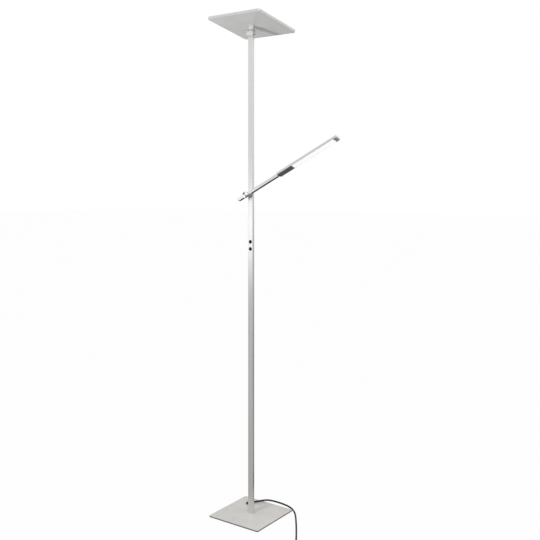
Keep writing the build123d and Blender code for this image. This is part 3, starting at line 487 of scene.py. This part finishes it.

# %% [markdown]
# ## The small metal parts
#
# The hinge's castings are finely blasted and its side discs are polished nearly bright. The
# reading light's post is nickel painted darker, a painted shade that darkens its mirror image on
# the pole below the hub. Screws and pins are zinc plated or black oxide, the inserts inside the
# pole are zinc as cast, and the plug's blades are brass.

# %% Small metal parts
small_nickel = metal(
    "small_nickel", (0.6, 0.6, 0.596), (0.64, 0.64, 0.636), 0.4, grain=1500.0, share=0.3
)
disc_nickel = metal("disc_nickel", (0.84, 0.84, 0.835), (0.89, 0.89, 0.885), 0.3)
# Painted shade: the post's nickel is painted darker so that its mirror image darkens the pole below
# the hub.
post_nickel_painted_shade = metal("post_nickel_painted_shade", (0.44, 0.44, 0.436), (0.5, 0.5, 0.496), 0.3)
bright_steel = metal("bright_steel", (0.55, 0.55, 0.56), (0.64, 0.64, 0.65), 0.26)
cast_zinc = metal("cast_zinc", (0.42, 0.42, 0.43), (0.52, 0.52, 0.53), 0.5, grain=400.0)
black_oxide = metal("black_oxide", (0.03, 0.03, 0.032), (0.06, 0.06, 0.062), 0.4)
brass = metal("brass", (0.72, 0.55, 0.28), (0.8, 0.63, 0.34), 0.24, (1, 1, 0.02))
print("small metals ready, materials so far", len(bpy.data.materials))

# %% [markdown]
# ## The plastics
#
# Mouldings, the cord's sheath and the boards are not metal: a coloured base with a soft gloss
# over it. Each gets a tone that drifts a little and a fine grain in its bump, at the size that
# the real surface has: spark-eroded texture on the buttons, a drawn skin on the cord.

# %% Plastic finishes
def plastic(name, dark, light, rough, grain=1200.0, depth=0.00003, gloss=0.5):
    """A coloured plastic with a fine grain under a soft gloss."""
    finish, tree, shader, place = new_finish(name)
    shader.inputs["Specular IOR Level"].default_value = gloss
    tone = noise(tree, place, 30.0, detail=2.0)
    fine = noise(tree, place, grain)
    join(
        tree,
        (two_tone(tree, tone, dark, light), shader.inputs["Base Color"]),
        (remap(tree, fine, rough - 0.05, rough + 0.08), shader.inputs["Roughness"]),
        (bump(tree, fine, depth), shader.inputs["Normal"]),
    )
    return finish


black_moulding = plastic("black_moulding", (0.012, 0.012, 0.013), (0.022, 0.022, 0.023), 0.42)
button_black = plastic("button_black", (0.004, 0.004, 0.004), (0.008, 0.008, 0.008), 0.5, gloss=0.12)
cord_black = plastic(
    "cord_black", (0.008, 0.008, 0.008), (0.016, 0.016, 0.016), 0.58, grain=700.0, gloss=0.3
)
pad_foam = plastic(
    "pad_foam", (0.03, 0.03, 0.03), (0.05, 0.05, 0.05), 0.85, grain=900.0, depth=0.0001, gloss=0.2
)
acetal = plastic("acetal", (0.76, 0.74, 0.68), (0.82, 0.8, 0.74), 0.4)
carrier_white = plastic("carrier_white", (0.8, 0.8, 0.78), (0.86, 0.86, 0.84), 0.45)
board_green = plastic("board_green", (0.02, 0.14, 0.06), (0.04, 0.22, 0.1), 0.32, grain=500.0)
board_white = plastic("board_white", (0.82, 0.82, 0.81), (0.88, 0.88, 0.87), 0.4)
sleeve_grey = plastic("sleeve_grey", (0.07, 0.07, 0.075), (0.1, 0.1, 0.105), 0.6)
phosphor = plastic("phosphor", (0.85, 0.7, 0.18), (0.92, 0.8, 0.3), 0.3, depth=0.00001)
print("plastics ready, materials so far", len(bpy.data.materials))

# %% [markdown]
# ## Opal diffusers
#
# Both heads have opal acrylic over their emitters. The reading light's is lit: a weak, even
# emission on top of the lit colour makes it the whitest thing on the lamp without a glare.

# %% Opal
LIT_LEVEL = 0.4
OPAL = {"dark": (0.9, 0.9, 0.895), "light": (0.925, 0.925, 0.92), "rough": 0.34, "grain": 2500.0}
opal = plastic("opal", depth=0.00001, **OPAL)
opal_lit = plastic("opal_lit", depth=0.00001, **OPAL)
lit_shader = next(node for node in opal_lit.node_tree.nodes if node.type == "BSDF_PRINCIPLED")
lit_shader.inputs["Emission Color"].default_value = (1, 1, 0.99, 1)
lit_shader.inputs["Emission Strength"].default_value = LIT_LEVEL
print("opal ready, lit level", LIT_LEVEL)

# %% [markdown]
# ## Dressing the nodes
#
# Every node of the pack gets its finish here, also those inside the pole and the heads, which
# the camera never sees: whoever takes the lamp apart finds them finished too. The meshes stay
# as they came, and only their material changes.

# %% Which node has which finish
finishes = {
    pole_nickel: ["pole_lower", "pole_upper"],
    arm_nickel: ["arm_tube", "arm_tail_cap", "arm_nose", "reading_housing", "reading_inner_cap",
                 "reading_end_cap"],
    plate_nickel: ["base_plate"],
    tray_nickel: ["head_tray"],
    small_nickel: ["hinge_yoke", "head_bracket"],
    disc_nickel: ["hinge_plate_right", "hinge_plate_left"],
    post_nickel_painted_shade: ["reading_post"],
    turned_nickel: ["hub_cap"],
    bright_steel: ["foot_screws", "hinge_pin", "head_bracket_screws", "head_board_screws",
                   "twist_shaft", "twist_clip"],
    cast_zinc: ["pole_foot", "pole_joiner", "post_nut"],
    black_oxide: ["hinge_screws", "set_screws"],
    brass: ["plug_blades"],
    black_moulding: ["cord_gland", "mains_plug", "twist_washer", "button_switches"],
    button_black: ["torch_button", "reading_button"],
    cord_black: ["base_lead", "pole_leads", "mains_cord", "cord_coil", "plug_lead"],
    pad_foam: ["base_pad"],
    acetal: ["hinge_washers", "hub_washers"],
    carrier_white: ["board_carrier"],
    board_green: ["driver_board", "control_board"],
    board_white: ["head_led_board", "reading_board"],
    sleeve_grey: ["driver_sleeve"],
    phosphor: ["head_leds", "reading_leds"],
    opal: ["head_diffuser"],
    opal_lit: ["reading_diffuser"],
}
for finish, names in finishes.items():
    for name in names:
        mesh = nodes[name].data
        mesh.materials.clear()
        mesh.materials.append(finish)
print("finished", sum(len(names) for names in finishes.values()), "of", len(nodes), "nodes")

# %% [markdown]
# ## The reading light's lens
#
# The lens of the reading light is a moulded strip with a thin rim that covers the window's
# edge, so that the lit face is wider than the window itself. A bevelled slab stands for it: its
# corners follow the window's round ones, and the edges that are out in the open are rounded. It
# is modelled flat and level, and then turned as the head is: first the arm's rise, then the
# head's twist about the arm.

# %% Lens
HEAD_TWIST = radians(25)
WINDOW_START, WINDOW_LENGTH, FACE_HEIGHT = 0.2279, 0.187, -0.005
LENS_WIDTH, LENS_PROUD, RIM_SIDE = 0.02, 0.0006, 0.0012
CORNER_ROUND, EDGE_ROUND = 0.0035, 0.0004
reading_frame = Matrix.Translation(HUB)
reading_frame @= Matrix.Rotation(-ARM_RISE, 4, "Y")
reading_frame @= Matrix.Rotation(-HEAD_TWIST, 4, "X")
lens_size = (WINDOW_LENGTH + 2 * RIM_SIDE, LENS_WIDTH, LENS_PROUD * 2)
lens_middle = Vector((WINDOW_START + WINDOW_LENGTH / 2, 0, FACE_HEIGHT))


def round_edges(shape, edges, offset, segments):
    """Round some edges of a bmesh shape."""
    bmesh.ops.bevel(
        shape, geom=edges, offset=offset, segments=segments, profile=0.5, affect="EDGES", material=-1
    )


lens = bmesh.new()
bmesh.ops.create_cube(lens, size=1)
bmesh.ops.scale(lens, vec=lens_size, verts=lens.verts)
ends = [edge for edge in lens.edges if abs(edge.verts[0].co.z - edge.verts[1].co.z) > LENS_PROUD]
round_edges(lens, ends, CORNER_ROUND, 6)
low = [edge for edge in lens.edges if all(vert.co.z < 0 for vert in edge.verts)]
round_edges(lens, low, EDGE_ROUND, 3)
bmesh.ops.translate(lens, vec=lens_middle, verts=lens.verts)
bmesh.ops.transform(lens, matrix=reading_frame, verts=lens.verts)
bmesh.ops.recalc_face_normals(lens, faces=lens.faces)
lens_mesh = bpy.data.meshes.new("reading_lens")
lens.to_mesh(lens_mesh)
lens.free()
lens_mesh.materials.append(opal_lit)
reading_lens = bpy.data.objects.new("reading_lens", lens_mesh)
scene.collection.objects.link(reading_lens)
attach(reading_lens, "reading_head")
print("lens box", [round(v, 4) for v in lens_size], "faces", len(lens_mesh.polygons))

# %% [markdown]
# ## The mains cord
#
# A mains lead is one length of flexible tube that keeps a slight memory of its coil. The line
# is a NURBS curve along the CAD tube's route, a few millimetres lower where it passes the
# plate's edge, so that it bends smoothly. It leaves the nozzle of its gland flat, drops off the
# plate, runs round the base's corner, and its spare length is wound up beside it, with the plug.

# %% Cord route
CORD_DIAMETER = 0.0062
LYING = CORD_DIAMETER / 2
GLAND, GLAND_HEADING = Vector((-0.058, 0.054)), radians(54.5)
NOZZLE_LENGTH, FIRST_RUN, NOZZLE_HEIGHT = 0.024, 0.016, 0.0102
gland_way = Vector((cos(GLAND_HEADING), sin(GLAND_HEADING)))
route = [
    (*(GLAND + gland_way * ahead), NOZZLE_HEIGHT)
    for ahead in (NOZZLE_LENGTH, NOZZLE_LENGTH + FIRST_RUN)
]
route += [
    (-0.025, 0.1005, 0.011),
    (-0.0135, 0.117, 0.0105),
    (0.003, 0.1305, 0.007),
    (0.027, 0.1375, 0.0039),
]
on_floor = [
    (0.057, 0.136), (0.086, 0.128), (0.112, 0.112), (0.135, 0.089), (0.1595, 0.0565),
    (0.191, 0.0115), (0.224, -0.0375), (0.2585, -0.091), (0.2895, -0.141),
]
route += [(*point, LYING) for point in on_floor]
print("route points", len(route))

# %% [markdown]
# ## The coil
#
# The spare length is wound as half turns. Each has its own radius, a little less than the one
# before in the lower layer and a little more in the upper one, so that the turns lie side by
# side, and its centre moves so that it starts where the last one ended. The control points stand
# slightly outside the arc, as a quadratic curve cuts the corners of the line that guides it.

# %% Coil
OUTER_RADIUS, PITCH = 0.042, 0.0068
LOWER_HALVES, UPPER_HALVES, STEPS = 4, 5, 8
arrival = Vector(route[-1]) - Vector(route[-2])
coil_turn = Matrix.Rotation(atan2(arrival.y, arrival.x), 4, "Z")
coil_frame = Matrix.Translation((route[-1][0], route[-1][1], 0)) @ coil_turn
radii = [OUTER_RADIUS - index * PITCH / 2 for index in range(LOWER_HALVES + 1)]
radii += [radii[-1] + (index + 1) * PITCH / 2 for index in range(UPPER_HALVES)]
heights = [LYING] * (LOWER_HALVES + 1) + [LYING + PITCH] * (UPPER_HALVES + 1)
coil = []
side, start = 1, 0.0
for radius, low, high in zip(radii, heights, heights[1:]):
    middle = start + side * radius
    reach = radius / cos(radians(90 / STEPS))
    for step in range(STEPS):
        part = (step + 0.5) / STEPS
        turn = radians(180 * part)
        across = CORD_DIAMETER + side * reach * sin(turn)
        coil.append((across, middle - side * reach * cos(turn), low + (high - low) * part))
    start += side * 2 * radius
    side = -side
coil_exit = (CORD_DIAMETER + side * CORD_DIAMETER, start, high)
print("coil control points", len(coil))

# %% [markdown]
# ## From the coil to the plug
#
# The last few centimetres run out over the coil to the plug. Then the whole line, from the gland
# to the plug, becomes one curve with a round bevel. It stands for the three tubes of the CAD
# source.

# %% Lead to the plug
PLUG_STEPS = [(0.014, 0, 0), (0.03, -0.0015, -0.0003), (0.047, -0.006, -0.0008),
              (0.062, -0.0125, -0.0008)]
lead = [coil_exit] + [tuple(a + b for a, b in zip(coil_exit, step)) for step in PLUG_STEPS]
line = [Vector(point) for point in route] + [coil_frame @ Vector(point) for point in coil + lead]

curve = bpy.data.curves.new("mains_flex", "CURVE")
curve.dimensions = "3D"
curve.bevel_depth = CORD_DIAMETER / 2
curve.bevel_resolution = 5
curve.use_fill_caps = True
spline = curve.splines.new("NURBS")
spline.points.add(len(line) - 1)
for control, place in zip(spline.points, line):
    control.co = (*place, 1)
spline.order_u = 3
spline.use_endpoint_u = True
spline.resolution_u = 6
curve.materials.append(cord_black)
flex = bpy.data.objects.new("mains_flex", curve)
scene.collection.objects.link(flex)
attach(flex, "stand")
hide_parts("mains_cord", "cord_coil", "plug_lead")
print("cord control points", len(line))
